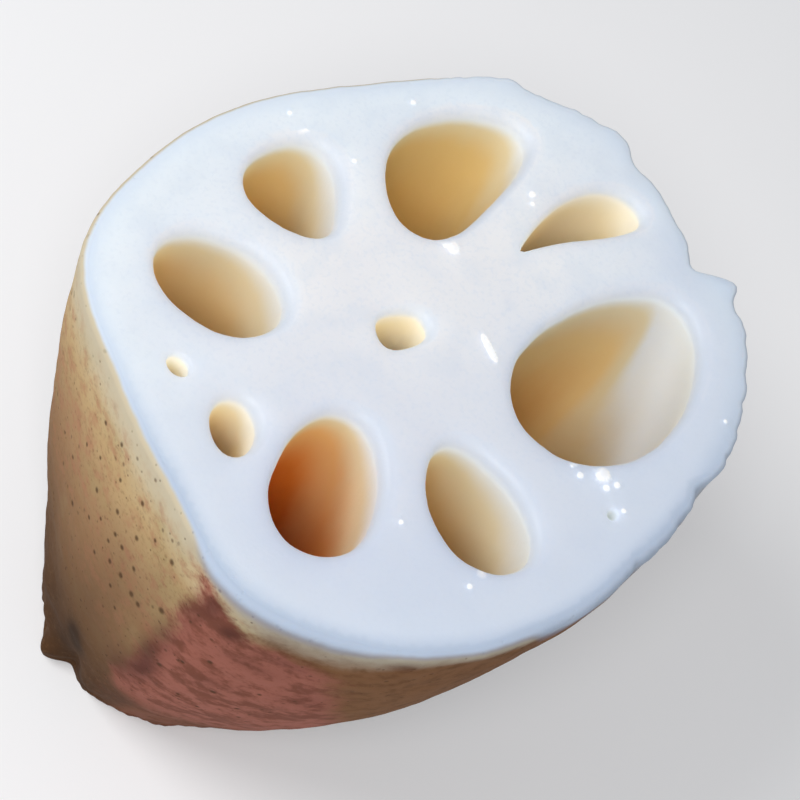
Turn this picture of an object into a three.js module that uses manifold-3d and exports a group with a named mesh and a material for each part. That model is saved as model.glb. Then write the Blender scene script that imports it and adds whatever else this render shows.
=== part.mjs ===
// A segment of lotus root: one piece of rhizome, cut straight across at both ends.
// It stands on its narrow lower cut, with the wide cut face and the mouths of its air channels on top.
import * as THREE from 'three';
import Module from 'manifold-3d';

// Sizes are in millimetres. A turn is an angle in degrees, from +X toward +Y, seen from above.
// Depth is measured down from the cut face, and the face's own middle is the start of every turn.

// The body between its two cuts
const bodyHeight = 78;
const rimRadii = [34.5, 38.5, 43.2, 42.2, 44.8, 41.2, 37.4, 37.5, 38.5, 39.3, 34.5, 33, 35.5, 35, 34.2, 33.8];
const footRadii = [21.5, 26.5, 25, 19.5, 19, 19, 19, 19]; // at even turns, like rimRadii, wider on the far side
const footShiftX = -7;
const footShiftY = -9;
const narrowingPower = 1.75; // above 1, the body keeps its width near the face and narrows lower down
const leaningPower = 1.55; // above 1, the body leans toward its foot mostly in its lower half

// Rind torn by the knife along the far rim: how far each tear stands out at its turn, and how wide it is
const tearDepth = 5; // the tears fade out this far below the face
const tears = [
  { turn: 108, width: 4, rise: 1.3 },
  { turn: 87, width: 3.5, rise: 1 },
  { turn: 81, width: 3, rise: -0.6 },
  { turn: 61, width: 3, rise: -2 },
  { turn: 57, width: 3, rise: 2.8 },
  { turn: 49, width: 3.5, rise: 1 },
  { turn: 27, width: 5, rise: 0.7 },
  { turn: 17, width: 4, rise: -0.6 },
];

// Swellings and hollows of the skin: place, how far they reach each way, and how far they stand out
const swellings = [
  { turn: 243, depth: 76, across: 6, along: 4, rise: 2.4 }, // stub of the collar at the joint
  { turn: 253, depth: 73, across: 5, along: 7, rise: -1.6 }, // crease beside the stub
  { turn: 234, depth: 70, across: 6, along: 3, rise: 0.9 },
  { turn: 228, depth: 62, across: 7, along: 3, rise: 0.7 },
  { turn: 262, depth: 72, across: 8, along: 10, rise: 0.6 },
  { turn: 216, depth: 22, across: 8, along: 12, rise: -0.5 }, // long soft groove below the rim
  { turn: 219, depth: 50, across: 16, along: 18, rise: -0.9 }, // broad hollows of the near side
  { turn: 297, depth: 58, across: 14, along: 14, rise: -0.6 },
  { turn: 335, depth: 20, across: 12, along: 12, rise: -0.6 },
  { turn: 115, depth: 36, across: 20, along: 16, rise: 0.9 }, // broad swells of the far side
  { turn: 60, depth: 32, across: 16, along: 14, rise: 0.7 },
  { turn: 15, depth: 50, across: 18, along: 18, rise: -0.8 },
  { turn: 75, depth: 75, across: 10, along: 4, rise: 1.6 }, // the collar again, on the far side
  { turn: 150, depth: 76, across: 9, along: 4, rise: 1.3 },
];

// Air channels: the middle of each mouth, its length and width, the turn of its long axis,
// how much it swells toward that end (point), its sideways bend, and how square its ends are
const channels = [
  { name: 'upperLeft', x: -22.8, y: 9.3, length: 12.6, width: 11.2, turn: 148, point: 0.32, bend: 0.9 },
  { name: 'top', x: -9.2, y: 24.9, length: 21.7, width: 13.1, turn: 259, point: 0.19, bend: -2 },
  { name: 'crescent', x: 5.8, y: 29.5, length: 17.9, width: 5.3, turn: 241, point: -0.63, bend: -1.5 },
  { name: 'widest', x: 18.3, y: 15.8, length: 27.9, width: 18.7, turn: 255, point: 0.13, bend: 1 },
  { name: 'lowerRight', x: 15.5, y: -9.4, length: 16.1, width: 10.7, turn: 338, point: 0.12, bend: -0.5 },
  { name: 'lower', x: 0.5, y: -18.5, length: 17.1, width: 12, turn: 289, point: 0.13, square: 0.1 },
  { name: 'smallLower', x: -11.3, y: -20.3, length: 6.7, width: 5.3, turn: 306, point: -0.1 },
  { name: 'smallest', x: -20.3, y: -18.5, length: 2.9, width: 2.2, turn: 353 },
  { name: 'left', x: -22.8, y: -7.3, length: 15.8, width: 11.1, turn: 10, point: 0.05 },
  { name: 'middle', x: -3.6, y: 2.7, length: 6.4, width: 4.4, turn: 234, point: 0.17, square: 0.2 },
];
const channelShrink = 0.8; // extra narrowing of each channel at the foot
const cutMargin = 2; // the channels' solids run this far past both cuts

// Fineness of the surface
const bodySides = 120;
const bodyLevels = 16;
const wideChannelSides = 28;
const smallChannelSides = 18;
const wideChannelLength = 10;
const channelLevels = 6;

const fullTurn = 360;
const meanRimRadius = rimRadii.reduce((sum, radius) => sum + radius, 0) / rimRadii.length;
const leastFootRadius = Math.min(...footRadii);

const sine = (turn) => Math.sin(THREE.MathUtils.degToRad(turn));
const cosine = (turn) => Math.cos(THREE.MathUtils.degToRad(turn));

// A smooth hump of height 1 that is close to nothing two widths away
const hump = (distance, width) => Math.exp(-((distance / width) ** 2));

// The shorter way round from one turn to another
function turnBetween(from, to) {
  const halfTurn = fullTurn / 2;
  return THREE.MathUtils.euclideanModulo(to - from + halfTurn, fullTurn) - halfTurn;
}

// The radius at any turn of a smooth closed curve through radii that are given at even turns
function curveRadius(radii, turn) {
  const count = radii.length;
  const place = (THREE.MathUtils.euclideanModulo(turn, fullTurn) / fullTurn) * count;
  const start = Math.floor(place);
  const along = place - start;
  const [before, here, next, after] = [-1, 0, 1, 2].map((step) => radii[(start + step + count) % count]);
  const slope = next - before;
  const curve = 2 * before - 5 * here + 4 * next - after;
  const twist = 3 * here - before - 3 * next + after;
  return here + 0.5 * along * (slope + along * (curve + along * twist));
}

// The plain section at a depth: it goes from the face's outline to the foot's, before tears and swellings
function sectionRadius(turn, depth) {
  const down = THREE.MathUtils.clamp(depth / bodyHeight, 0, 1);
  const scale = 1 - (1 - leastFootRadius / meanRimRadius) * down ** narrowingPower;
  const footOutline = (meanRimRadius * curveRadius(footRadii, turn)) / leastFootRadius;
  return scale * THREE.MathUtils.lerp(curveRadius(rimRadii, turn), footOutline, down);
}

// The middle of the section at a depth
function sectionMiddle(depth) {
  const lean = THREE.MathUtils.clamp(depth / bodyHeight, 0, 1) ** leaningPower;
  return new THREE.Vector2(footShiftX, footShiftY).multiplyScalar(lean);
}

function skinRelief(turn, depth) {
  let relief = 0;
  for (const tear of tears) {
    relief += tear.rise * hump(turnBetween(tear.turn, turn), tear.width) * hump(depth, tearDepth);
  }
  for (const swelling of swellings) {
    const sideways = hump(turnBetween(swelling.turn, turn), swelling.across);
    relief += swelling.rise * sideways * hump(depth - swelling.depth, swelling.along);
  }
  return relief;
}

function skinPoint(turn, depth) {
  const radius = sectionRadius(turn, depth) + skinRelief(turn, depth);
  const middle = sectionMiddle(depth);
  const x = middle.x + radius * cosine(turn);
  const y = middle.y + radius * sine(turn);
  return new THREE.Vector3(x, y, bodyHeight - depth);
}

// A point of the face carried down to a depth, keeping its share of the way from the middle to the skin
function carryDown(x, y, depth) {
  const turn = THREE.MathUtils.radToDeg(Math.atan2(y, x));
  const share = sectionRadius(turn, depth) / curveRadius(rimRadii, turn);
  const middle = sectionMiddle(depth);
  return new THREE.Vector3(middle.x + share * x, middle.y + share * y, bodyHeight - depth);
}

// A channel's outline point: an ellipse that may be egg-shaped, bent and squared, then turned into place
function channelPoint(channel, angle, depth) {
  const { point = 0, bend = 0, square = 0 } = channel;
  const blunt = (value) => Math.sign(value) * Math.abs(value) ** (1 - square);
  const shrink = THREE.MathUtils.lerp(1, channelShrink, THREE.MathUtils.clamp(depth / bodyHeight, 0, 1));
  const lengthwise = blunt(cosine(angle));
  const along = (channel.length / 2) * lengthwise;
  const across = (channel.width / 2) * blunt(sine(angle)) * (1 + point * cosine(angle));
  const sideways = across + bend * (1 - lengthwise ** 2);
  const x = channel.x + shrink * (along * cosine(channel.turn) - sideways * sine(channel.turn));
  const y = channel.y + shrink * (along * sine(channel.turn) + sideways * cosine(channel.turn));
  return carryDown(x, y, depth);
}

// One closed body through a stack of rings, the lowest first, each counter-clockwise from above
function loft(rings) {
  const sides = rings[0].length;
  const index = [];
  for (let level = 0; level + 1 < rings.length; level++) {
    for (let side = 0; side < sides; side++) {
      const next = (side + 1) % sides;
      const [lower, lowerNext] = [level * sides + side, level * sides + next];
      index.push(lower, lowerNext, lowerNext + sides, lower, lowerNext + sides, lower + sides);
    }
  }
  const top = (rings.length - 1) * sides;
  for (const [a, b, c] of THREE.ShapeUtils.triangulateShape(rings[0], [])) {
    index.push(c, b, a);
  }
  for (const [a, b, c] of THREE.ShapeUtils.triangulateShape(rings[rings.length - 1], [])) {
    index.push(top + a, top + b, top + c);
  }
  const geometry = new THREE.BufferGeometry().setFromPoints(rings.flat());
  geometry.setIndex(index);
  return geometry;
}

// Levels crowd toward both cuts, where the tears and the collar need them
function bodyGeometry() {
  const rings = [];
  for (let level = 0; level <= bodyLevels; level++) {
    const depth = bodyHeight * (0.5 + 0.5 * Math.cos((Math.PI * level) / bodyLevels));
    const ring = [];
    for (let side = 0; side < bodySides; side++) {
      ring.push(skinPoint((fullTurn * side) / bodySides, depth));
    }
    rings.push(ring);
  }
  return loft(rings);
}

function channelGeometry(channel) {
  const sides = channel.length > wideChannelLength ? wideChannelSides : smallChannelSides;
  const depths = [bodyHeight + cutMargin];
  for (let level = 0; level <= channelLevels; level++) {
    depths.push(bodyHeight * (1 - level / channelLevels));
  }
  depths.push(-cutMargin);
  const rings = depths.map((depth) => {
    const ring = [];
    for (let side = 0; side < sides; side++) {
      ring.push(channelPoint(channel, (fullTurn * side) / sides, depth));
    }
    return ring;
  });
  return loft(rings);
}

const wasm = await Module();
wasm.setup();

function toSolid(geometry) {
  const mesh = new wasm.Mesh({
    numProp: 3,
    vertProperties: new Float32Array(geometry.getAttribute('position').array),
    triVerts: new Uint32Array(geometry.getIndex().array),
  });
  return new wasm.Manifold(mesh);
}

function toGeometry(solid) {
  const mesh = solid.getMesh();
  const geometry = new THREE.BufferGeometry();
  geometry.setAttribute('position', new THREE.Float32BufferAttribute(mesh.vertProperties, 3));
  geometry.setIndex(Array.from(mesh.triVerts));
  geometry.computeVertexNormals();
  return geometry;
}

// The body with every channel cut through it
let segment = toSolid(bodyGeometry());
for (const channel of channels) {
  segment = segment.subtract(toSolid(channelGeometry(channel)));
}

// The origin is in the middle of the outline seen from above, level with the lower cut
const segmentGeometry = toGeometry(segment);
segmentGeometry.computeBoundingBox();
const middle = segmentGeometry.boundingBox.getCenter(new THREE.Vector3());
segmentGeometry.translate(-middle.x, -middle.y, -segmentGeometry.boundingBox.min.z);

const flesh = new THREE.MeshStandardMaterial({ color: 0xe6eaf0, roughness: 0.35, metalness: 0 });
const lotusRootSegment = new THREE.Mesh(segmentGeometry, flesh);
lotusRootSegment.name = 'lotus_root_segment';

const model = new THREE.Group();
model.add(lotusRootSegment);

export default model;
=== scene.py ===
import math

import bpy
import numpy as np
from mathutils import Matrix, Vector, kdtree, noise
from mathutils.geometry import delaunay_2d_cdt


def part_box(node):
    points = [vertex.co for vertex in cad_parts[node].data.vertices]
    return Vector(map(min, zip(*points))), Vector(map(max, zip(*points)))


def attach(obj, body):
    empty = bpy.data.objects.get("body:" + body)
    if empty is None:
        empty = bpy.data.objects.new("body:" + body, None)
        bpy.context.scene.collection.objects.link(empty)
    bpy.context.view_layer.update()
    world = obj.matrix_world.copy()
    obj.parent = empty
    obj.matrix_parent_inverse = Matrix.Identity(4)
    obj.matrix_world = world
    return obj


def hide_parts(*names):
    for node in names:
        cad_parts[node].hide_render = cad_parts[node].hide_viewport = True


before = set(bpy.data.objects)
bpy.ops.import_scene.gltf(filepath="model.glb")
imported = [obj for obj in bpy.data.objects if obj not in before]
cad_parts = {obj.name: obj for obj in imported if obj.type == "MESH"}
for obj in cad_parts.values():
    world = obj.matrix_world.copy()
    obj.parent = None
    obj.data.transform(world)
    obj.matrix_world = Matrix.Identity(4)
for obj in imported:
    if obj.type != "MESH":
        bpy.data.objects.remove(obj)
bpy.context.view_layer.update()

# The segment is worked out in millimetres and turned into metres when its mesh is made.
# A turn is in degrees from +X toward +Y, seen from above. Depth is measured down from the wide cut face,
# and places on the face are measured from the face's own middle.
millimetre = 0.001
rootName = "lotus_root_segment"
rootLow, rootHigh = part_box(rootName)

body = {
    "height": (rootHigh.z - rootLow.z) / millimetre,
    "rimRadii": [34.5, 38.5, 43.2, 42.2, 44.8, 41.2, 37.4, 37.5, 38.5, 39.3, 34.5, 33, 35.5, 35, 34.2, 33.8],
    "footRadii": [21.5, 26.5, 25, 19.5, 19, 19, 19, 19],  # at even turns, like rimRadii
    "footShift": (-7, -9),
    "narrowing": 1.75,  # above 1, the body narrows mostly in its lower half
    "leaning": 1.55,
    "tearDepth": 5,
    "rimRound": 1.0,  # rounding where the skin meets the face
    "rimSteps": 5,
    "footRound": 0.4,
    "footSteps": 3,
    "sides": 480,
    "rowSpacing": ((6, 0.34), (58, 0.86)),  # down to this depth, the skin's rows are this far apart
    "footRowSpacing": 0.48,
}

# turn, width, rise: rind torn by the knife along the far rim
tears = [
    (108, 4, 1.3), (87, 3.5, 1), (81, 3, -0.6), (61, 3, -2), (57, 3, 2.8), (49, 3.5, 1),
    (27, 5, 0.7), (17, 4, -0.6),
]

# turn, depth, reach across, reach along, rise
swellings = [
    (243, 76, 6, 4, 2.4),  # stub of the collar at the joint
    (253, 73, 5, 7, -1.6),  # crease beside the stub
    (234, 70, 6, 3, 0.9),
    (228, 62, 7, 3, 0.7),
    (262, 72, 8, 10, 0.6),
    (216, 22, 8, 12, -0.5),  # long soft groove below the rim
    (219, 50, 16, 18, -0.9),  # broad hollows of the near side
    (297, 58, 14, 14, -0.6),
    (335, 20, 12, 12, -0.6),
    (115, 36, 20, 16, 0.9),  # broad swells of the far side
    (60, 32, 16, 14, 0.7),
    (15, 50, 18, 18, -0.8),
    (75, 75, 10, 4, 1.6),  # the collar again, on the far side
    (150, 76, 9, 4, 1.3),
]

# Air channels: mouth middle, length, width, turn of the long axis, then egg shape, bend and squareness;
# stain is how soon the wall darkens below its mouth, warmth goes from straw yellow to orange brown,
# pale is how far down the wall stays white on the bore's lit side, which is painted light, and light is
# how much painted light brightens the walls of a narrow channel
channels = [
    {"x": -22.8, "y": 9.3, "length": 12.6, "width": 11.2, "turn": 148, "point": 0.32, "bend": 0.9,
     "stain": 1.0, "warmth": 0.3},
    {"x": -9.2, "y": 24.9, "length": 21.7, "width": 13.1, "turn": 259, "point": 0.19, "bend": -2,
     "stain": 1.2, "warmth": 0.05},
    {"x": 5.8, "y": 29.5, "length": 17.9, "width": 5.3, "turn": 241, "point": -0.63, "bend": -1.5,
     "stain": 0.55, "warmth": 0.15, "light": 0.6},
    {"x": 18.3, "y": 15.8, "length": 27.9, "width": 18.7, "turn": 255, "point": 0.13, "bend": 1,
     "stain": 0.7, "warmth": 0.4, "pale": 15},
    {"x": 15.5, "y": -9.4, "length": 16.1, "width": 10.7, "turn": 338, "point": 0.12, "bend": -0.5,
     "stain": 0.8, "warmth": 0.55},
    {"x": 0.5, "y": -18.5, "length": 17.1, "width": 12, "turn": 289, "point": 0.13, "square": 0.1,
     "stain": 1.6, "warmth": 1.0},
    {"x": -11.3, "y": -20.3, "length": 6.7, "width": 5.3, "turn": 306, "point": -0.1,
     "stain": 1.2, "warmth": 0.5, "light": 0.45},
    {"x": -20.3, "y": -18.5, "length": 2.9, "width": 2.2, "turn": 353,
     "stain": 0.4, "warmth": 0, "light": 0.5},
    {"x": -22.8, "y": -7.3, "length": 15.8, "width": 11.1, "turn": 10, "point": 0.05,
     "stain": 0.9, "warmth": 0.35, "light": 0.15},
    {"x": -3.6, "y": 2.7, "length": 6.4, "width": 4.4, "turn": 234, "point": 0.17, "square": 0.2,
     "stain": 0.9, "warmth": 0.15, "light": 0.8},
]

bore = {
    "footShrink": 0.8,  # extra narrowing of each channel at the foot
    "columnWidth": 0.66,  # width of a wall face
    "leastColumns": 20,
    "rows": 34,
    "rowCrowding": 1.6,  # above 1, the rows lie closer together near the wide face
    "fullWidth": 6,  # narrower channels have finer edges and ripples
    "farTurn": 80,  # the mouths' edges are softest on this side
    "sharpEdge": 0.22,
    "softEdge": 2.1,
    "softening": 1.5,  # above 1, the soft part of an edge is shorter
    "edgeSteps": 5,
    "footEdge": 0.25,
    "footEdgeSteps": 2,
    "ripple": 0.16,
    "rippleSize": 4.2,
    "rippleStretch": 0.3,  # under 1, the ripples are long down the wall
    "fineRipple": 0.3,  # share of the ripple's height
    "fineRippleSize": 1.3,
    "litTurn": 25,  # the walls are painted lit on this side, so they stay pale furthest down here
    "litSide": (0.45, 1.0),
    "wallStart": (0.1, 0.4),  # how far into the rounded edge the wall's colour starts: all round, pale side
    "footFade": 1.4,  # the walls' colour builds up this much faster from the lower cut
    "stainAndShadeSides": (1.35, 1.1),  # staining on the shaded side, and how much less it is on the lit side, as painted shade and light
}

cutFace = {
    "spacing": 0.78,
    "rowStep": 0.866,  # distance of the rows as a share of the spacing
    "jitter": 0.2,
    "clear": 0.42,  # how far points stay off the edges
    "footRing": 0.8,  # the lower cut is coloured like this share of the way to the rim
    "formClear": (1.35, 0.2),  # how far they stay off a bead: share of its radius, and margin
    "waves": ((0.13, 13), (0.045, 3.6), (0.016, 1.1)),  # height and size of each
    "reliefReach": 1.5,  # the face's relief dies out this far down the walls and the skin
}

# Beads of water left on the face: x, y, radius
waterBeads = [
    (-4.9, 16.0, 0.75), (-5.9, 15.7, 0.4), (-1.6, 29.3, 0.45), (-0.9, 28.2, 0.3), (24.7, 4.0, 0.95),
    (25.9, 2.9, 0.45), (21.2, 2.6, 0.35), (22.6, 2.1, 0.42), (26.7, 4.1, 0.42), (19.7, -15.3, 0.6),
    (18.7, -15.6, 0.4),
    (19.6, -17.9, 0.35), (-30.0, 16.9, 0.3), (-27.2, 16.2, 0.35), (-20.5, 17.1, 0.3), (-19.8, 29.2, 0.35),
    (28.3, 16.1, 0.3), (29.0, 1.9, 0.32), (13.2, -2.6, 0.28), (9.4, -16.8, 0.3), (33.1, 20.4, 0.28),
]
beadShape = {"height": 0.5, "rings": (0.3, 0.55, 0.78, 0.95, 1.1), "spokes": 12, "wetness": 3}
waterStreak = {"start": (4.1, 8.9), "end": (7.0, 7.3), "radius": 0.5, "taper": 0.4, "steps": 9}

pit = {"x": 28.2, "y": 0.6, "radius": 0.75, "depth": 0.8}  # small blind hole in the face


def hump(distance, width):
    return np.exp(-((distance / width) ** 2))


def turnBetween(start, end):
    return np.mod(end - start + 180, 360) - 180


def smooth(value, low, high):
    share = np.clip((value - low) / (high - low), 0, 1)
    return share * share * (3 - 2 * share)


# 1 over a stretch of turns and 0 outside it. Each end is a turn, then where its fade begins and ends,
# counted from that turn.
def stretch(turn, start, end, wander=0):
    begun = smooth(turnBetween(start[0], turn) + wander, start[1], start[2])
    return begun * (1 - smooth(turnBetween(end[0], turn) + wander, end[1], end[2]))


# Noise of about -1 to 1 at points in millimetres, with waves of the given size
def ripple(points, size, seed):
    shift = Vector((seed * 17.3, seed * 5.1, seed * 9.7))
    return np.array([noise.noise(Vector(point) / size + shift) for point in points])


# Ripples added up, each given by its height and its size
def waves(points, ripples, seed):
    return sum(height * ripple(points, size, seed + number) for number, (height, size) in enumerate(ripples))


# The radius at any turn of a smooth closed curve through radii that are given at even turns
def curveRadius(radii, turn):
    radii = np.array(radii)
    place = np.mod(turn, 360) / 360 * len(radii)
    start = np.floor(place).astype(int)
    along = place - start
    before, here, after, beyond = [radii[(start + step) % len(radii)] for step in (-1, 0, 1, 2)]
    curve = 2 * before - 5 * here + 4 * after - beyond
    twist = 3 * here - before - 3 * after + beyond
    return here + 0.5 * along * (after - before + along * (curve + along * twist))


def rimRadius(turn):
    return curveRadius(body["rimRadii"], turn)


def downShare(depth):
    return np.clip(depth / body["height"], 0, 1)


def sectionRadius(turn, depth):
    mean = sum(body["rimRadii"]) / len(body["rimRadii"])
    least = min(body["footRadii"])
    down = downShare(depth)
    scale = 1 - (1 - least / mean) * down ** body["narrowing"]
    footOutline = mean * curveRadius(body["footRadii"], turn) / least
    return scale * (rimRadius(turn) * (1 - down) + footOutline * down)


def sectionMiddle(depth):
    lean = downShare(depth) ** body["leaning"]
    return body["footShift"][0] * lean, body["footShift"][1] * lean


def broadRelief(turn, depth):
    relief = 0
    for tearTurn, width, rise in tears:
        relief = relief + rise * hump(turnBetween(tearTurn, turn), width) * hump(depth, body["tearDepth"])
    for swellTurn, swellDepth, across, along, rise in swellings:
        sideways = turnBetween(swellTurn, turn)
        relief = relief + rise * hump(sideways, across) * hump(depth - swellDepth, along)
    return relief


# A place on the face carried down to a depth, keeping its share of the way from the middle to the skin
def carryDown(x, y, depth):
    turn = np.degrees(np.arctan2(y, x))
    share = sectionRadius(turn, depth) / rimRadius(turn)
    middleX, middleY = sectionMiddle(depth)
    return np.stack([middleX + share * x, middleY + share * y], axis=-1)


def channelOutline(channel, angles, depth):
    def blunt(value):
        return np.sign(value) * np.abs(value) ** (1 - channel.get("square", 0))

    shrink = 1 + (bore["footShrink"] - 1) * downShare(depth)
    lengthwise = blunt(np.cos(angles))
    along = channel["length"] / 2 * lengthwise
    across = channel["width"] / 2 * blunt(np.sin(angles)) * (1 + channel.get("point", 0) * np.cos(angles))
    sideways = across + channel.get("bend", 0) * (1 - lengthwise ** 2)
    cosine = math.cos(math.radians(channel["turn"]))
    sine = math.sin(math.radians(channel["turn"]))
    x = channel["x"] + shrink * (along * cosine - sideways * sine)
    y = channel["y"] + shrink * (along * sine + sideways * cosine)
    return carryDown(x, y, depth)


# Heights and sizes of the skin's own fine forms
skinRelief = {
    "lumps": ((0.22, 9), (0.09, 3.2)),
    "fibres": ((0.05, 1.1),),
    "fibreStretch": 0.16,  # under 1, the fibres run long down the root
    "ragged": ((0.5, 2.6), (0.3, 1.2)),
    "raggedTurns": ((60, -78, -60), (60, 52, 66)),
    "raggedReach": 2.4,
    "folds": ((0.6, 3.4),),
    "foldStretch": 1.6,  # above 1, the folds run round the root
    "wrinkles": ((0.35, 1.3),),
    "collarReach": 5,
}


# The skin's own fine shape: soft lumps, lengthwise fibres, a ragged far rim and a wrinkled collar at the foot
def fineSkin(turn, depth, points):
    lumps = waves(points, skinRelief["lumps"], 1)
    fibres = waves(points * np.array([1, 1, skinRelief["fibreStretch"]]), skinRelief["fibres"], 3)
    far = stretch(turn, *skinRelief["raggedTurns"])
    ragged = far * hump(depth, skinRelief["raggedReach"]) * waves(points, skinRelief["ragged"], 4)
    folded = points * np.array([1, 1, skinRelief["foldStretch"]])
    creases = waves(folded, skinRelief["folds"], 6) + waves(points, skinRelief["wrinkles"], 7)
    collar = hump(body["height"] - depth, skinRelief["collarReach"]) * creases
    return lumps + fibres + ragged + collar


# Everything of the piece: points, faces with their material, and marks that the materials read at each point
markNames = [
    "rimFall", "depth", "around", "pinkPatch", "brownSide", "rindReach", "fleshReach", "rindCool", "blotch",
    "hollow", "wallDepth", "staining", "warmth", "light", "lip", "ringShare", "pitShade", "bead",
]
pieces = {"points": [], "marks": {name: [] for name in markNames}, "faces": [], "count": 0}
fleshSlot = 0
skinSlot = 1


def addPoints(points, **marks):
    first = pieces["count"]
    number = len(points)
    pieces["points"].append(np.asarray(points, float))
    for name in markNames:
        pieces["marks"][name].append(np.broadcast_to(np.asarray(marks.get(name, 0.0), float), (number,)))
    pieces["count"] += number
    return np.arange(first, first + number)


# Faces between two closed rings, each counter-clockwise from above; a channel's wall looks inward
def addBand(upper, lower, slot, inward=False):
    upperNext = np.roll(upper, -1)
    lowerNext = np.roll(lower, -1)
    if inward:
        quads = np.stack([upper, upperNext, lowerNext, lower], axis=1)
    else:
        quads = np.stack([lower, lowerNext, upperNext, upper], axis=1)
    pieces["faces"].extend((tuple(quad), slot) for quad in quads.tolist())


# Depths of the skin's rows: close together at both cuts, wider apart between them
def skinDepths():
    top = body["rimRound"]
    bottom = body["height"] - body["footRound"]
    depths = [top]
    for limit, step in (*body["rowSpacing"], (bottom, body["footRowSpacing"])):
        while depths[-1] + step < limit:
            depths.append(depths[-1] + step)
    depths.append(bottom)
    return depths


# turn, depth, reach across, reach along, strength of the darkest blotches
skinBlotches = [
    (268.5, 6.5, 2.2, 3, 0.9), (274.5, 9, 2.6, 2.4, 1.0), (266, 31, 3, 4, 0.8), (267.5, 37.5, 3.2, 4.5, 0.85),
    (266, 12, 3, 4, 0.5), (265.5, 23, 3.4, 5, 0.6), (267, 44, 4.5, 6, 0.6), (273, 61, 8, 6, 0.3),
    (281.5, 15, 5, 1.8, 0.45), (286, 10, 6, 2, 0.45), (303.5, 3, 3.2, 1.2, 0.6), (262.5, 47, 3.5, 5, 0.35),
    (279, 27, 4, 3, 0.25), (296, 22, 5, 3, 0.3), (40, 40, 6, 9, 0.5), (120, 20, 5, 8, 0.4),
    (350, 50, 8, 10, 0.5),
]

# turn, depth, reach across, reach along, strength of the shade that gathers in creases
skinHollows = [
    (248, 57, 3.5, 4, 1.0), (252, 60, 3.5, 4, 0.8), (246, 67, 6, 6, 0.6), (225, 66, 7, 5, 0.35),
    (260, 74, 10, 5, 0.5),
    (251, 26, 10, 12, 0.25), (259, 14, 5, 10, 0.15), (236, 58, 8, 10, 0.35), (248, 42, 9, 9, 0.2),
]


# Where the skin's colours lie: the turns of a colour are its two ends, as stretch takes them
skinPatches = {
    "wander": ((2.4, 8), (1.5, 2.8)),  # how far the borders stray, in waves of this size
    "pinkStart": (264.5, -4, 5),
    "pinkEnd": (285, -7, 9),
    "pinkSlant": 0.75,  # the end lies this much further round for each millimetre down
    "pinkTop": 3,
    "pinkTopDrop": (4.5, 264, 279),  # the top lies this much lower from the second turn on
    "pinkTopFade": (-1.8, 2.2),
    "pinkTopWander": 0.6,
    "pinkFoot": (0.7, 50, 62),  # share of the pink that the foot loses, and the depths it fades over
    "pinkFootEnd": (280, -10, 8),
    "farPink": {"share": 0.7, "turn": 95, "across": 26, "depth": 44, "along": 22},
    "brown": ((275, -6, 12), (350, -40, 50)),
    "cool": ((262, -7, 5), (20, -20, 20)),
    "rind": 9,  # how far down the pale rind reaches
    "rindNotch": {"turn": 265, "across": 6, "less": 5},
    "narrowRind": ((298, -8, 12), (60, -20, 40)),
    "narrowRindLess": 4.5,
    "flesh": 0.9,  # how far down the flesh shows below the rim
    "nearFlesh": ((260, -5, 5), (296, -6, 6)),
    "nearFleshMore": 1.3,
    "farFlesh": ((331, -4, 4), (110, -14, 14)),
    "farFleshMore": 3.2,
    "blotchWander": 0.4,
}


def skinMarks(turn, depth, points):
    look = skinPatches
    wander = waves(points, look["wander"], 11)
    drop, dropStart, dropEnd = look["pinkTopDrop"]
    patchTop = look["pinkTop"] + drop * smooth(turn, dropStart, dropEnd)
    end, fadeStart, fadeEnd = look["pinkEnd"]
    patchEnd = (end + look["pinkSlant"] * depth, fadeStart, fadeEnd)
    pink = stretch(turn, look["pinkStart"], patchEnd, wander)
    pink = pink * smooth(depth - patchTop + look["pinkTopWander"] * wander, *look["pinkTopFade"])
    lost, lostTop, lostBottom = look["pinkFoot"]
    footTurn, footStart, footEnd = look["pinkFootEnd"]
    aside = 1 - smooth(turnBetween(footTurn, turn), footStart, footEnd)
    pink = pink * (1 - lost * smooth(depth + wander, lostTop, lostBottom) * aside)
    far = look["farPink"]
    sideways = turnBetween(far["turn"] + wander, turn)
    pink = pink + far["share"] * hump(sideways, far["across"]) * hump(depth - far["depth"], far["along"])
    notch = look["rindNotch"]
    rind = look["rind"] - notch["less"] * hump(turnBetween(notch["turn"], turn), notch["across"])
    rind = rind - look["narrowRindLess"] * stretch(turn, *look["narrowRind"])
    flesh = look["flesh"] + look["nearFleshMore"] * stretch(turn, *look["nearFlesh"])
    flesh = flesh + look["farFleshMore"] * stretch(turn, *look["farFlesh"])
    blotch = 0
    for blotchTurn, blotchDepth, across, along, strength in skinBlotches:
        sideways = turnBetween(blotchTurn + look["blotchWander"] * wander, turn)
        blotch = blotch + strength * hump(sideways, across) * hump(depth - blotchDepth, along)
    hollow = 0
    for hollowTurn, hollowDepth, across, along, strength in skinHollows:
        sideways = turnBetween(hollowTurn, turn)
        hollow = hollow + strength * hump(sideways, across) * hump(depth - hollowDepth, along)
    return {
        "around": np.mod(turn - poreSpread["firstTurn"], 360) * poreSpread["turnWidth"],
        "pinkPatch": np.clip(pink, 0, 1),
        "brownSide": stretch(turn, *look["brown"], wander),
        "rindReach": rind,
        "fleshReach": flesh,
        "rindCool": stretch(turn, *look["cool"]),
        "blotch": np.clip(blotch, 0, 1),
        "hollow": np.clip(hollow, 0, 1),
    }


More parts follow.
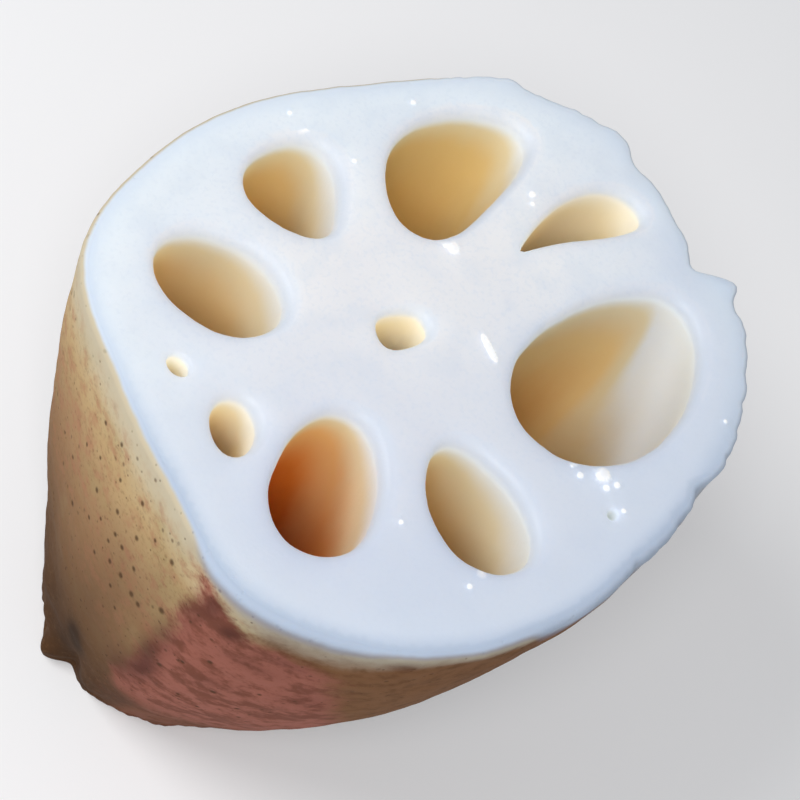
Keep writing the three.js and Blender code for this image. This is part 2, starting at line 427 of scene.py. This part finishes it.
def buildSkin():
    turns = np.arange(body["sides"]) * 360 / body["sides"]
    rimSteps = body["rimSteps"]
    footSteps = body["footSteps"]
    rimRound = body["rimRound"]
    footRound = body["footRound"]
    rows = []  # depth, inset, depth that the relief is read at
    for step in range(rimSteps):
        angle = math.pi / 2 * (1 - step / rimSteps)
        rows.append((rimRound * (1 - math.sin(angle)), rimRound * (1 - math.cos(angle)), rimRound))
    for depth in skinDepths():
        rows.append((depth, 0, depth))
    bottom = body["height"] - footRound
    for step in range(1, footSteps + 1):
        angle = math.pi / 2 * step / footSteps
        rows.append((bottom + footRound * math.sin(angle), footRound * (1 - math.cos(angle)), bottom))
    rings = []
    for depth, inset, readDepth in rows:
        radians = np.radians(turns)
        plainRadius = sectionRadius(turns, readDepth)
        middleX, middleY = sectionMiddle(readDepth)
        plain = np.stack([
            middleX + plainRadius * np.cos(radians),
            middleY + plainRadius * np.sin(radians),
            np.full(len(turns), -float(readDepth)),
        ], axis=1)
        radius = plainRadius + broadRelief(turns, readDepth) + fineSkin(turns, readDepth, plain) - inset
        points = np.stack([
            middleX + radius * np.cos(radians),
            middleY + radius * np.sin(radians),
            np.full(len(turns), body["height"] - depth),
        ], axis=1)
        fall = depth + (rimRound - inset if depth < rimRound else rimRound)
        marks = skinMarks(turns, readDepth, plain)
        rings.append(addPoints(points, rimFall=fall, depth=fall - rimRound, ringShare=1, **marks))
    for upper, lower in zip(rings, rings[1:]):
        addBand(upper, lower, skinSlot)
    return rings[0], rings[-1]


def outwardNormals(outline):
    along = np.roll(outline, -1, axis=0) - np.roll(outline, 1, axis=0)
    normals = np.stack([along[:, 1], -along[:, 0]], axis=1)
    return normals / np.linalg.norm(normals, axis=1, keepdims=True)


# Angles that give a channel's columns about equal widths
def evenAngles(channel):
    dense = np.linspace(0, 2 * math.pi, 721)
    outline = channelOutline(channel, dense, 0)
    travelled = np.concatenate([[0], np.cumsum(np.linalg.norm(np.diff(outline, axis=0), axis=1))])
    columns = max(bore["leastColumns"], round(travelled[-1] / bore["columnWidth"]))
    return np.interp(np.arange(columns) * travelled[-1] / columns, travelled, dense)


def buildChannel(channel, seed):
    angles = evenAngles(channel)
    height = body["height"]
    mouth = channelOutline(channel, angles, 0)
    normals = outwardNormals(mouth)
    outwardTurn = np.degrees(np.arctan2(normals[:, 1], normals[:, 0]))
    far = 0.5 + 0.5 * np.cos(np.radians(outwardTurn - bore["farTurn"]))
    side = 0.5 + 0.5 * np.cos(np.radians(outwardTurn - bore["litTurn"]))
    wideness = min(1, channel["width"] / bore["fullWidth"])
    soft = wideness * (bore["sharpEdge"] + (bore["softEdge"] - bore["sharpEdge"]) * far ** bore["softening"])
    sharp = bore["footEdge"] * wideness
    rings = []
    edgeSteps = bore["edgeSteps"]
    footSteps = bore["footEdgeSteps"]
    rows = []  # depth and outward offset of every column, and how much painted shade it gets where the mouth's lip rounds over
    for step in range(edgeSteps):
        angle = math.pi / 2 * (1 - step / edgeSteps)
        rows.append((soft * (1 - math.sin(angle)), soft * (1 - math.cos(angle)), math.sin(2 * angle)))
    for share in (np.arange(bore["rows"] + 1) / bore["rows"]) ** bore["rowCrowding"]:
        rows.append((soft + (height - sharp - soft) * share, 0, 0))
    for step in range(1, footSteps + 1):
        angle = math.pi / 2 * step / footSteps
        rows.append((height - sharp * (1 - math.sin(angle)), sharp * (1 - math.cos(angle)), 0))
    for depth, offset, lip in rows:
        depth = np.broadcast_to(depth, len(angles))
        outline = channelOutline(channel, angles, depth)
        plain = np.column_stack([outline, -depth])
        stretched = plain * np.array([1, 1, bore["rippleStretch"]])
        wave = ripple(stretched, bore["rippleSize"], 20 + seed)
        wave = wave + bore["fineRipple"] * ripple(stretched, bore["fineRippleSize"], 40 + seed)
        wave = bore["ripple"] * wideness * wave
        outline = outline + outwardNormals(outline) * (offset + wave)[:, None]
        points = np.column_stack([outline, height - depth])
        start = (bore["wallStart"][0] + bore["wallStart"][1] * side) * soft
        wallDepth = np.maximum(np.minimum(depth, bore["footFade"] * (height - depth)) - start, 0)
        # painted light: on the lit side the wall stays white further down and stains less
        pale = channel.get("pale", 0) * smooth(side, *bore["litSide"])
        sideShadedStain = bore["stainAndShadeSides"][0] - bore["stainAndShadeSides"][1] * side
        staining = np.maximum(wallDepth - pale, 0) * channel["stain"] * sideShadedStain
        rings.append(addPoints(points, wallDepth=wallDepth, staining=staining, warmth=channel["warmth"],
                               ringShare=0.6, lip=lip * side ** 2, light=channel.get("light", 0)))
    for upper, lower in zip(rings, rings[1:]):
        addBand(upper, lower, fleshSlot, inward=True)
    return rings[0], rings[-1]


def insidePolygon(points, polygon):
    x, y = points[:, 0], points[:, 1]
    inside = np.zeros(len(points), bool)
    for (x0, y0), (x1, y1) in zip(polygon, np.roll(polygon, -1, axis=0)):
        crosses = (y0 > y) != (y1 > y)
        if y1 != y0:
            inside ^= crosses & (x < (x1 - x0) * (y - y0) / (y1 - y0) + x0)
    return inside


# Rings of points that carry a small round form on the face
def roundForm(x, y, radius):
    found = [(x, y)]
    for number, ring in enumerate(beadShape["rings"]):
        for spoke in range(beadShape["spokes"]):
            angle = 2 * math.pi * (spoke + 0.5 * (number % 2)) / beadShape["spokes"]
            found.append((x + ring * radius * math.cos(angle), y + ring * radius * math.sin(angle)))
    return found


# A flat cut with its holes: the loops are already points of the piece, and more are spread between them
def buildCut(outerLoop, holeLoops, height, upward, forms, random):
    allPoints = np.concatenate(pieces["points"])
    loops = [outerLoop] + holeLoops
    loopIndex = np.concatenate(loops)
    loopPoints = allPoints[loopIndex][:, :2]
    outer = allPoints[outerLoop][:, :2]
    holes = [allPoints[loop][:, :2] for loop in holeLoops]
    spacing = cutFace["spacing"]
    low = outer.min(axis=0)
    high = outer.max(axis=0)
    spread = []
    for row, y in enumerate(np.arange(low[1], high[1], spacing * cutFace["rowStep"])):
        for x in np.arange(low[0] + (row % 2) * spacing / 2, high[0], spacing):
            spread.append((x, y))
    jitter = cutFace["jitter"]
    spread = np.array(spread) + random.uniform(-jitter, jitter, (len(spread), 2)) * spacing
    share, margin = cutFace["formClear"]
    for x, y, radius in forms:
        spread = spread[np.hypot(spread[:, 0] - x, spread[:, 1] - y) > share * radius + margin]
    inner = [np.array(roundForm(x, y, radius)) for x, y, radius in forms]
    spread = np.concatenate([spread] + inner)
    keep = insidePolygon(spread, outer)
    for hole in holes:
        keep &= ~insidePolygon(spread, hole)
    tree = kdtree.KDTree(len(loopPoints))
    for number, point in enumerate(loopPoints):
        tree.insert((point[0], point[1], 0), number)
    tree.balance()
    near = np.array([tree.find((point[0], point[1], 0))[2] for point in spread])
    spread = spread[keep & (near > cutFace["clear"])]
    edges = []
    first = 0
    for loop in loops:
        number = len(loop)
        edges.extend((first + step, first + (step + 1) % number) for step in range(number))
        first += number
    flat = [Vector(point) for point in np.concatenate([loopPoints, spread])]
    made = delaunay_2d_cdt(flat, edges, [], 0, 1e-6, True)
    corners = np.array([(point.x, point.y) for point in made[0]])
    triangles = np.array(made[2])
    centres = corners[triangles].mean(axis=1)
    keep = insidePolygon(centres, outer)
    for hole in holes:
        keep &= ~insidePolygon(centres, hole)
    turns = np.degrees(np.arctan2(spread[:, 1], spread[:, 0]))
    newPoints = np.column_stack([spread, np.full(len(spread), height)])
    if upward:
        newIndex = addPoints(newPoints, ringShare=np.hypot(spread[:, 0], spread[:, 1]) / rimRadius(turns))
    else:
        newIndex = addPoints(newPoints, ringShare=cutFace["footRing"], depth=body["height"])
    lookUp = np.concatenate([loopIndex, newIndex])
    fromInput = np.array([sources[0] for sources in made[3]])
    for a, b, c in lookUp[fromInput[triangles[keep]]].tolist():
        pieces["faces"].append(((a, b, c) if upward else (c, b, a), fleshSlot))


# The long streak of water, as beads that run into each other
def streakBeads():
    start = np.array(waterStreak["start"])
    end = np.array(waterStreak["end"])
    shares = np.linspace(0, 1, waterStreak["steps"])
    middles = [start + (end - start) * share for share in shares]
    radii = waterStreak["radius"] * (1 - (2 * shares - 1) ** 4 * waterStreak["taper"])
    return [(middle[0], middle[1], radius) for middle, radius in zip(middles, radii)]


# The wide face's own relief, beads of water and the pit; the relief dies out just below the face
def settleFace(points):
    depth = body["height"] - points[:, 2]
    top = depth < cutFace["reliefReach"]
    flat = points[top] * np.array([1, 1, 0])
    relief = waves(flat, cutFace["waves"], 60) * (1 - smooth(depth[top], 0, cutFace["reliefReach"]))
    water = np.zeros(len(flat))
    wet = np.zeros(len(flat))
    for x, y, radius in waterBeads + streakBeads():
        away = np.hypot(flat[:, 0] - x, flat[:, 1] - y) / radius
        rise = np.clip(1 - away ** 2, 0, 1) * (depth[top] < 1e-6)
        water = np.maximum(water, beadShape["height"] * radius * np.sqrt(rise))
        wet = np.maximum(wet, np.clip(rise * beadShape["wetness"], 0, 1))
    relief += water
    away = np.hypot(flat[:, 0] - pit["x"], flat[:, 1] - pit["y"]) / pit["radius"]
    hollow = np.clip(1 - away ** 2, 0, 1)
    relief -= pit["depth"] * hollow
    points[top, 2] += relief
    pitShade = np.zeros(len(points))
    pitShade[top] = hollow
    bead = np.zeros(len(points))
    bead[top] = wet
    return pitShade, bead


def buildRoot():
    random = np.random.default_rng(7)
    rim, footRim = buildSkin()
    print("skin rows made:", pieces["count"], "points")
    ends = [buildChannel(channel, seed) for seed, channel in enumerate(channels)]
    print("channel walls made:", pieces["count"], "points")
    forms = waterBeads + streakBeads() + [(pit["x"], pit["y"], pit["radius"])]
    buildCut(rim, [end[0] for end in ends], body["height"], True, forms, random)
    buildCut(footRim, [end[1] for end in ends], 0, False, [], random)
    print("both cuts made:", pieces["count"], "points")
    points = np.concatenate(pieces["points"])
    marks = {name: np.concatenate(values) for name, values in pieces["marks"].items()}
    marks["pitShade"], marks["bead"] = settleFace(points)
    # the solid's box has its middle at the origin, so the outline's own middle is moved there
    coarse = np.arange(0, 360, 3)
    outline = []
    for depth in np.linspace(0, body["height"], 40):
        radius = sectionRadius(coarse, depth) + broadRelief(coarse, depth)
        middleX, middleY = sectionMiddle(depth)
        outline.append(np.stack([
            middleX + radius * np.cos(np.radians(coarse)),
            middleY + radius * np.sin(np.radians(coarse)),
        ], axis=1))
    outline = np.concatenate(outline)
    offset = (outline.min(axis=0) + outline.max(axis=0)) / 2
    points[:, :2] -= offset
    points *= millimetre
    mesh = bpy.data.meshes.new("lotusRootSegment")
    mesh.from_pydata(points.tolist(), [], [corners for corners, slot in pieces["faces"]])
    mesh.polygons.foreach_set("material_index", [slot for corners, slot in pieces["faces"]])
    mesh.polygons.foreach_set("use_smooth", [True] * len(mesh.polygons))
    for name in markNames:
        layer = mesh.attributes.new(name, "FLOAT", "POINT")
        layer.data.foreach_set("value", marks[name].astype(np.float32))
    mesh.update()
    root = bpy.data.objects.new("lotusRootSegment", mesh)
    bpy.context.scene.collection.objects.link(root)
    print("segment made:", len(mesh.vertices), "points,", len(mesh.polygons), "faces")
    return root, Vector((-offset[0], -offset[1], body["height"])) * millimetre


# A shader value: sums on it add Math nodes to its material
class Wire:
    def __init__(self, tree, socket=None):
        self.tree = tree
        self.socket = socket

    def node(self, kind, settings=None, inputs=None, output=0):
        made = self.tree.nodes.new(kind)
        for name, value in (settings or {}).items():
            if name == "stops":
                ramp = made.color_ramp.elements
                while len(ramp) < len(value):
                    ramp.new(0.5)
                for stop, (place, colour) in zip(ramp, value):
                    stop.position = place
                    stop.color = colour
            else:
                setattr(made, name, value)
        for name, value in (inputs or {}).items():
            if isinstance(value, Wire):
                self.tree.links.new(value.socket, made.inputs[name])
            else:
                made.inputs[name].default_value = value
        return Wire(self.tree, made.outputs[output] if made.outputs else None)

    def sum(self, operation, first, second):
        return self.node("ShaderNodeMath", {"operation": operation}, {0: first, 1: second})

    def __add__(self, other):
        return self.sum("ADD", self, other)

    def __radd__(self, other):
        return self.sum("ADD", other, self)

    def __sub__(self, other):
        return self.sum("SUBTRACT", self, other)

    def __rsub__(self, other):
        return self.sum("SUBTRACT", other, self)

    def __mul__(self, other):
        return self.sum("MULTIPLY", self, other)

    def __rmul__(self, other):
        return self.sum("MULTIPLY", other, self)

    def __truediv__(self, other):
        return self.sum("DIVIDE", self, other)


# A colour as seen on a screen, 0 to 255, for a shader
def shade(red, green, blue):
    return (*[((value / 255 + 0.055) / 1.055) ** 2.4 for value in (red, green, blue)], 1)


def newMaterial(name):
    material = bpy.data.materials.new(name)
    material.use_nodes = True
    material.node_tree.nodes.clear()
    return material, Wire(material.node_tree)


def mark(paint, name):
    return paint.node("ShaderNodeAttribute", {"attribute_name": name}, output=2)


# Place on the piece in millimetres, stretched along its length if asked
def place(paint, stretch=1):
    where = paint.node("ShaderNodeTexCoord", output=3)
    scale = (1 / millimetre, 1 / millimetre, stretch / millimetre)
    return paint.node("ShaderNodeVectorMath", {"operation": "MULTIPLY"}, {0: where, 1: scale})


def grain(paint, where, size, detail=2, roughness=0.5):
    return paint.node("ShaderNodeTexNoise", {}, {
        "Vector": where, "Scale": 1 / size, "Detail": detail, "Roughness": roughness,
    })


def step(paint, value, low, high):
    return paint.node("ShaderNodeMapRange", {"interpolation_type": "SMOOTHSTEP"}, {
        "Value": value, "From Min": low, "From Max": high,
    })


def mix(paint, factor, first, second):
    return paint.node("ShaderNodeMix", {"data_type": "RGBA"}, {0: factor, 6: first, 7: second}, output=2)


def bump(paint, height, distance, strength, normal=None):
    inputs = {"Height": height, "Distance": distance * millimetre, "Strength": strength}
    if normal is not None:
        inputs["Normal"] = normal
    return paint.node("ShaderNodeBump", {}, inputs)


fleshLook = {
    "heart": shade(231, 232, 235),  # the middle of the face
    "outerRing": shade(222, 231, 240),  # moister and cooler toward the rim
    "edge": shade(202, 214, 229),
    "mouth": shade(232, 240, 248),  # the walls just below the face
    "lip": shade(200, 209, 221),  # painted shade on the lit side, where the mouths round over
    "cream": shade(232, 222, 190),
    "straw": shade(236, 211, 150),
    "apricot": shade(242, 198, 134),
    "deepStraw": shade(230, 199, 134),
    "orangeBrown": shade(238, 146, 60),
    "deepBrown": shade(252, 148, 64),
    "shadedSide": shade(198, 208, 226),
    "nearRimShade": shade(170, 184, 205),
    "litWall": shade(252, 243, 221),
    # painted highlight: the water beads are painted white for their glints
    "water": shade(255, 255, 255),
    "pitGrey": shade(168, 176, 168),
    "footCream": shade(226, 212, 180),
    "nearSide": (0.6, -0.8, 0),  # the near side, toward which the face and its rim are painted greyer as shade
    "rightSide": (0.79, 0.62, 0),
    "creamDepths": (0.1, 2.6),  # how far down a wall each colour begins and is complete
    "strawDepths": (1.4, 8),
    "brownDepths": (6, 26),
    "deepestDepths": (22, 56),
    "cells": (0.32, 0.04, 0.4),  # size, height and strength of the bumps
    "unevenness": (1.6, 0.1, 0.4),
    "roughness": 0.42,
    "specular": 0.35,
    "coat": 0.05,
    "coatRoughness": 0.12,
    "softness": 0.95,
    "softReach": 0.011,
    "softTint": (1.0, 0.78, 0.5),
}


# How far a place lies toward the given side of the root, in millimetres
def toward(paint, where, side):
    return paint.node("ShaderNodeVectorMath", {"operation": "DOT_PRODUCT"}, {0: where, 1: side}, output=1)


# The flesh at the rim, with painted shade that makes it darkest on the near side; the face and the skin's
# rounded edge share it
def rimFlesh(paint, where):
    near = toward(paint, where, fleshLook["nearSide"])
    colour = mix(paint, 0.3 + 0.7 * step(paint, near, -30, 15), fleshLook["outerRing"], fleshLook["edge"])
    return mix(paint, step(paint, near, 2, 24) * 0.7, colour, fleshLook["nearRimShade"])


def paintFlesh():
    material, paint = newMaterial("cutFlesh")
    where = place(paint)
    ring = mark(paint, "ringShare")
    depth = mark(paint, "wallDepth")
    warmth = mark(paint, "warmth")
    foot = mark(paint, "depth")
    bead = mark(paint, "bead")
    cloud = grain(paint, where, 9, 3)
    speck = grain(paint, where, 0.55, 2)
    # the cut face
    outward = step(paint, ring + (cloud - 0.5) * 0.3, 0.35, 0.95)
    face = mix(paint, outward, fleshLook["heart"], fleshLook["outerRing"])
    face = mix(paint, step(paint, speck, 0.48, 0.72) * 0.22, face, fleshLook["edge"])
    face = mix(paint, step(paint, grain(paint, where, 4.5, 3), 0.45, 0.7) * 0.25, face, fleshLook["edge"])
    # painted shade: the face greys toward its near and right sides
    nearShade = step(paint, toward(paint, where, fleshLook["nearSide"]), -14, 30)
    face = mix(paint, nearShade * 0.75, face, fleshLook["shadedSide"])
    rightShade = step(paint, toward(paint, where, fleshLook["rightSide"]), 16, 40)
    face = mix(paint, rightShade * 0.6, face, fleshLook["shadedSide"])
    face = mix(paint, step(paint, ring, 0.91, 0.995), face, rimFlesh(paint, where))
    face = mix(paint, step(paint, foot, 60, 78) * 0.8, face, fleshLook["footCream"])
    # the channel walls: cream at the mouth, then straw or apricot, then brown
    streak = grain(paint, place(paint, 0.25), 2.6, 3)
    reach = mark(paint, "staining") * (0.85 + 0.3 * streak)
    pale = mix(paint, warmth, fleshLook["straw"], fleshLook["apricot"])
    dark = mix(paint, warmth, fleshLook["deepStraw"], fleshLook["orangeBrown"])
    wall = mix(paint, step(paint, reach, *fleshLook["creamDepths"]), fleshLook["mouth"], fleshLook["cream"])
    wall = mix(paint, step(paint, reach, *fleshLook["strawDepths"]), wall, pale)
    wall = mix(paint, step(paint, reach, *fleshLook["brownDepths"]), wall, dark)
    wall = mix(paint, step(paint, reach, *fleshLook["deepestDepths"]) * warmth, wall, fleshLook["deepBrown"])
    # painted light: the walls of narrow channels are brightened toward a pale cream
    wall = mix(paint, mark(paint, "light"), wall, fleshLook["litWall"])
    colour = mix(paint, step(paint, depth, 0, 0.8), face, wall)
    # painted shade on the mouths' rounded lips, strongest on the lit side
    colour = mix(paint, mark(paint, "lip") * 0.75, colour, fleshLook["lip"])
    colour = mix(paint, mark(paint, "pitShade") * 0.8, colour, fleshLook["pitGrey"])
    # painted highlight: the beads are painted white, on top of their real gloss and coat
    colour = mix(paint, bead * 0.85, colour, fleshLook["water"])
    roughness = fleshLook["roughness"] + (cloud - 0.5) * 0.2 + step(paint, depth, 0.5, 6) * 0.2
    roughness = roughness * (1 - bead * 0.85)
    cellSize, cellHeight, cellStrength = fleshLook["cells"]
    cells = bump(paint, grain(paint, where, cellSize, 2) * (1 - bead), cellHeight, cellStrength)
    size, height, strength = fleshLook["unevenness"]
    normal = bump(paint, grain(paint, where, size, 3) * (1 - bead), height, strength, cells)
    surface = paint.node("ShaderNodeBsdfPrincipled", {"subsurface_method": "BURLEY"}, {
        "Base Color": colour,
        "Roughness": roughness,
        "Normal": normal,
        "Specular IOR Level": fleshLook["specular"],
        "Coat Weight": fleshLook["coat"] + bead * 0.8,
        "Coat Roughness": fleshLook["coatRoughness"],
        "Subsurface Weight": fleshLook["softness"],
        "Subsurface Radius": fleshLook["softTint"],
        "Subsurface Scale": fleshLook["softReach"],
        "IOR": 1.4,
    })
    paint.node("ShaderNodeOutputMaterial", {}, {"Surface": surface})
    return material


# Share of the way down, colour: the tan skin, with painted shade that darkens it toward the foot
tanShadedDown = [
    (0.04, shade(204, 184, 146)), (0.13, shade(190, 160, 116)), (0.24, shade(170, 136, 98)),
    (0.36, shade(148, 113, 80)), (0.53, shade(122, 91, 63)), (0.68, shade(100, 72, 48)),
    (0.82, shade(84, 58, 38)),
]

skinLook = {
    "olive": shade(168, 150, 104),
    "rosy": shade(172, 118, 92),
    "umber": shade(120, 90, 62),
    "pink": shade(160, 99, 84),
    "darkPink": shade(116, 68, 52),
    "brown": shade(126, 88, 58),
    "darkBrown": shade(92, 62, 38),
    "blotch": shade(84, 48, 40),
    "hollow": shade(52, 38, 28),
    "cream": shade(200, 188, 162),
    "coolRind": shade(182, 174, 156),
    "rimShadeLine": shade(150, 150, 164),
    "pore": shade(72, 50, 32),
    "gritSize": 0.3,
    "grit": (0.05, 0.5),  # height and strength of the bumps
    "grooves": (0.1, 0.4),
    "poreDents": (0.1, 0.6),
    "roughness": 0.7,
    "specular": 0.04,
    "softness": 0.1,
    "softReach": 0.0015,
    "softTint": (1.0, 0.6, 0.4),
}

# turn, depth, radius of the pores that show most
pores = [
    (241.5, 16, 0.3), (245, 8.5, 0.28), (229, 31.5, 0.34), (234.5, 19, 0.3), (234, 6, 0.24),
    (228, 8, 0.22), (248.5, 14.5, 0.28), (246.5, 26, 0.3), (252, 20, 0.3), (250.5, 25, 0.34),
    (257.5, 8.5, 0.32), (242, 29.5, 0.26), (255, 25, 0.36), (257.5, 25, 0.34), (262, 19.5, 0.38),
    (244, 20, 0.26), (239, 22, 0.22), (247, 20, 0.3), (243.5, 23, 0.24), (236, 26, 0.26),
    (250, 30, 0.26), (254, 33, 0.24), (231, 14, 0.2), (226, 17, 0.22), (238, 11, 0.22),
    (252, 10, 0.22), (223, 25, 0.22), (275.5, 20.5, 0.3), (281.5, 30.5, 0.34), (269.5, 33, 0.36),
    (289.5, 35, 0.3), (284, 42, 0.26), (293, 40, 0.26), (278, 40, 0.24), (272, 26, 0.26),
    (288, 24, 0.22),
]
poreSpread = {
    "firstTurn": 90,  # the pattern of pores begins and ends on the far side
    "turnWidth": 0.66,  # millimetres for each degree of turn
    "slim": 0.7,  # under 1, pores are longer along the root than across it
    "grow": 1.6,  # the listed pores are painted this much wider
    "edge": (0.3, 1.2),  # a pore fades out between these shares of its radius
    "sizes": ((4.2, 0.075), (2.6, 0.07)),  # spacing, and radius as a share of it
}


def paintPores(paint):
    around = mark(paint, "around")
    down = mark(paint, "depth")
    flat = paint.node("ShaderNodeCombineXYZ", {}, {"X": around, "Y": down * poreSpread["slim"]})
    core, rim = poreSpread["edge"]
    total = 0
    for turn, depth, radius in pores:
        middle = ((turn - poreSpread["firstTurn"]) * poreSpread["turnWidth"], depth * poreSpread["slim"], 0)
        away = paint.node("ShaderNodeVectorMath", {"operation": "DISTANCE"}, {0: flat, 1: middle}, output=1)
        reach = radius * poreSpread["grow"]
        total = (1 - step(paint, away, core * reach, rim * reach)) + total
    patchy = step(paint, grain(paint, place(paint), 6, 2), 0.42, 0.6)
    for spacing, radius in poreSpread["sizes"]:
        cells = paint.node("ShaderNodeTexVoronoi", {"voronoi_dimensions": "2D"}, {
            "Vector": flat, "Scale": 1 / spacing,
        })
        total = (1 - step(paint, cells, core * radius, rim * radius)) * (0.1 + 0.6 * patchy) + total
    return total


def paintSkin():
    material, paint = newMaterial("thinSkin")
    where = place(paint)
    fall = mark(paint, "rimFall")
    depth = mark(paint, "depth")
    pink = mark(paint, "pinkPatch")
    brown = mark(paint, "brownSide")
    cloud = grain(paint, where, 8, 4)
    mottle = grain(paint, where, 2.4, 3, 0.6)
    fine = grain(paint, where, 0.7, 2, 0.6)
    fibre = grain(paint, place(paint, 0.12), 0.9, 3)
    down = depth / body["height"] + (cloud - 0.5) * 0.08 + (mottle - 0.5) * 0.06
    tan = paint.node("ShaderNodeValToRGB", {"stops": tanShadedDown}, {"Fac": down})
    lively = 1 - step(paint, depth, 14, 56)  # the foot is too dark for pale clouds
    tan = mix(paint, step(paint, cloud, 0.46, 0.7) * 0.4 * lively, tan, skinLook["olive"])
    tan = mix(paint, step(paint, mottle, 0.46, 0.7) * 0.55 * lively, tan, skinLook["rosy"])
    tan = mix(paint, step(paint, fine, 0.5, 0.75) * 0.35, tan, skinLook["umber"])
    pinkClouds = step(paint, mottle + (cloud - 0.5) * 0.8, 0.38, 0.66)
    rosy = mix(paint, pinkClouds * 0.8, skinLook["pink"], skinLook["darkPink"])
    rosy = mix(paint, step(paint, fine, 0.48, 0.76) * 0.35, rosy, skinLook["darkPink"])
    rosy = mix(paint, step(paint, depth, 50, 66) * 0.6, rosy, skinLook["darkBrown"])
    umber = mix(paint, step(paint, mottle, 0.42, 0.72) * 0.6, skinLook["brown"], skinLook["darkBrown"])
    colour = mix(paint, step(paint, brown + (mottle - 0.5) * 0.3, 0.2, 0.8), tan, umber)
    pinkShare = step(paint, pink + (fine - 0.5) * 0.5 + (mottle - 0.5) * 0.6, 0.1, 0.9)
    colour = mix(paint, pinkShare, colour, rosy)
    # toward the rim: the pale rind, a cool dark line of painted shade where the face turns over, then flesh
    rindFall = fall / mark(paint, "rindReach") + (mottle - 0.5) * 0.4
    rind = mix(paint, mark(paint, "rindCool"), skinLook["cream"], skinLook["coolRind"])
    colour = mix(paint, 1 - step(paint, rindFall, 0.15, 1.0), colour, rind)
    colour = mix(paint, mark(paint, "blotch") * 0.8, colour, skinLook["blotch"])
    colour = mix(paint, mark(paint, "hollow") * 0.85, colour, skinLook["hollow"])
    spots = paintPores(paint)
    colour = mix(paint, spots * 0.8, colour, skinLook["pore"])
    fleshFall = fall / mark(paint, "fleshReach") + (mottle - 0.5) * 0.3
    shadeLine = (1 - step(paint, fleshFall, 1.0, 1.9)) * mark(paint, "rindCool")
    colour = mix(paint, shadeLine * 0.7, colour, skinLook["rimShadeLine"])
    colour = mix(paint, 1 - step(paint, fleshFall, 0.4, 1.3), colour, rimFlesh(paint, where))
    roughness = skinLook["roughness"] + (mottle - 0.5) * 0.2 - (1 - step(paint, fall, 0.3, 1.2)) * 0.16
    grit = bump(paint, grain(paint, where, skinLook["gritSize"], 3), *skinLook["grit"])
    grooves = bump(paint, fibre, *skinLook["grooves"], grit)
    normal = bump(paint, 1 - spots, *skinLook["poreDents"], grooves)
    surface = paint.node("ShaderNodeBsdfPrincipled", {}, {
        "Base Color": colour,
        "Roughness": roughness,
        "Normal": normal,
        "Specular IOR Level": skinLook["specular"],
        "Subsurface Weight": skinLook["softness"],
        "Subsurface Radius": skinLook["softTint"],
        "Subsurface Scale": skinLook["softReach"],
        "IOR": 1.4,
    })
    paint.node("ShaderNodeOutputMaterial", {}, {"Surface": surface})
    return material


root, faceMiddle = buildRoot()
root.data.materials.append(paintFlesh())
root.data.materials.append(paintSkin())
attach(root, "root")
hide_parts(rootName)
print("materials made")

view = {
    "lens": 90,
    "sensor": 36,
    "tilt": 30,  # degrees between the line of sight and straight down
    "roll": 38,
    "distance": 224.92,
    "nearest": 0.01,
    "aim": (1.08, -4.73, 0),  # from the middle of the face
}


def placeCamera():
    tilt = math.radians(view["tilt"])
    roll = math.radians(view["roll"])
    back = Vector((0, -math.sin(tilt), math.cos(tilt)))
    plainUp = Vector((0, math.cos(tilt), math.sin(tilt)))
    plainRight = (-back).cross(plainUp)
    up = plainUp * math.cos(roll) - plainRight * math.sin(roll)
    right = plainRight * math.cos(roll) + plainUp * math.sin(roll)
    data = bpy.data.cameras.new("studioCamera")
    data.lens = view["lens"]
    data.sensor_width = view["sensor"]
    data.clip_start = view["nearest"]
    camera = bpy.data.objects.new("studioCamera", data)
    bpy.context.scene.collection.objects.link(camera)
    target = faceMiddle + Vector(view["aim"]) * millimetre
    turned = Matrix((right, up, back)).transposed().to_4x4()
    stand = target + back * view["distance"] * millimetre
    camera.matrix_world = Matrix.Translation(stand) @ turned
    bpy.context.scene.camera = camera


studio = {
    "floorSize": 3.0,
    "floor": shade(249, 249, 250),
    "sky": shade(240, 243, 248),
    "skyStrength": 0.29,
    "lights": {
        "keyLight": {"place": (-0.3, -0.13, 0.45), "size": 0.24, "power": 1.15},
        "fillLight": {"place": (0.0, -0.62, 1.12), "size": 0.6, "power": 7.6},
    },
    "aim": (0, 0, 0.04),  # the lights look at this place
}


def makeFloor():
    material, paint = newMaterial("paleFloor")
    where = paint.node("ShaderNodeTexCoord", output=3)
    faint = grain(paint, where, 0.004, 2)
    surface = paint.node("ShaderNodeBsdfPrincipled", {}, {
        "Base Color": studio["floor"], "Roughness": 0.7 + (faint - 0.5) * 0.1,
    })
    paint.node("ShaderNodeOutputMaterial", {}, {"Surface": surface})
    half = studio["floorSize"] / 2
    mesh = bpy.data.meshes.new("studioFloor")
    corners = [(-half, -half, 0), (half, -half, 0), (half, half, 0), (-half, half, 0)]
    mesh.from_pydata(corners, [], [(0, 1, 2, 3)])
    mesh.materials.append(material)
    floor = bpy.data.objects.new("studioFloor", mesh)
    bpy.context.scene.collection.objects.link(floor)


def makeLight(name, lamp):
    data = bpy.data.lights.new(name, "AREA")
    data.shape = "DISK"
    data.size = lamp["size"]
    data.energy = lamp["power"]
    light = bpy.data.objects.new(name, data)
    bpy.context.scene.collection.objects.link(light)
    light.location = lamp["place"]
    aim = Vector(studio["aim"]) - light.location
    light.rotation_euler = aim.to_track_quat("-Z", "Y").to_euler()


def lightStudio():
    world = bpy.data.worlds.new("softStudio")
    world.use_nodes = True
    backdrop = world.node_tree.nodes["Background"]
    backdrop.inputs["Color"].default_value = studio["sky"]
    backdrop.inputs["Strength"].default_value = studio["skyStrength"]
    bpy.context.scene.world = world
    for name, lamp in studio["lights"].items():
        makeLight(name, lamp)
    bpy.context.scene.view_settings.view_transform = "Standard"


makeFloor()
lightStudio()
placeCamera()
print("floor, lights and camera placed")
